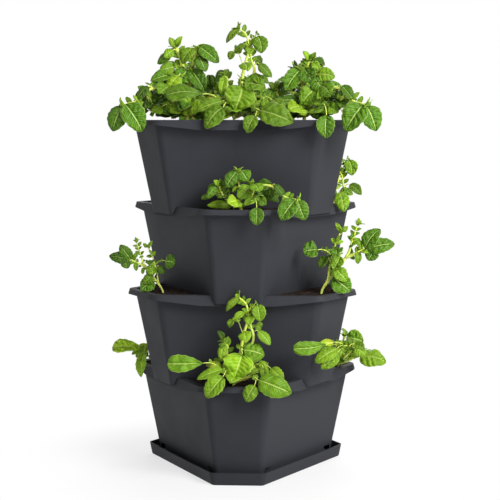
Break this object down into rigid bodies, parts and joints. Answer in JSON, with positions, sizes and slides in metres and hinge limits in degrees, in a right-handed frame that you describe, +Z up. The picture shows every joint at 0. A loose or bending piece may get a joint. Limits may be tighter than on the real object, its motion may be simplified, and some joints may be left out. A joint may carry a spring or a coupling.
{
  "type": "potato tower",
  "caption": "Free-standing tower of stacked planter boxes on a drip tray, each turned on the one below so that plants grow from its open corners.",
  "frame": {"origin": "on the ground, at the middle of the drip tray's underside, on the axis of the stack", "axes": "+Z up along the stack, -Y to the front, where a corner of the lowest box points, +X to the right"},
  "size_m": [0.6878, 0.5955, 1.0314],
  "materials": {
    "planter_plastic": "anthracite moulded plastic with a fine satin grain",
    "soil": "dark brown crumbly potting soil",
    "plant": "fresh green leaves with pale veins on pale yellow-green stems"
  },
  "bodies": {
    "tray": {"drip_tray": "planter_plastic"},
    "tier_1": {"planter_box_1": "planter_plastic", "soil_1": "soil", "plant_1_front": "plant", "plant_1_right": "plant", "plant_1_left": "plant"},
    "tier_2": {"planter_box_2": "planter_plastic", "soil_2": "soil", "plant_2_right": "plant", "plant_2_left": "plant", "plant_2_back": "plant"},
    "tier_3": {"planter_box_3": "planter_plastic", "soil_3": "soil", "plant_3_front": "plant", "plant_3_right": "plant"},
    "tier_4": {"planter_box_4": "planter_plastic", "soil_4": "soil", "plant_top_centre": "plant", "plant_top_right": "plant", "plant_top_left": "plant", "plant_top_rear_right": "plant", "plant_top_rear_left": "plant", "plant_top_back": "plant"}
  },
  "joints": [
    {"name": "tier_1_lift", "type": "slide", "parent": "tray", "child": "tier_1", "axis": [0, 0, 1], "range_m": [0, 0.3]},
    {"name": "tier_2_lift", "type": "slide", "parent": "tier_1", "child": "tier_2", "axis": [0, 0, 1], "range_m": [0, 0.3]},
    {"name": "tier_3_lift", "type": "slide", "parent": "tier_2", "child": "tier_3", "axis": [0, 0, 1], "range_m": [0, 0.3]},
    {"name": "tier_4_lift", "type": "slide", "parent": "tier_3", "child": "tier_4", "axis": [0, 0, 1], "range_m": [0, 0.3]}
  ]
}
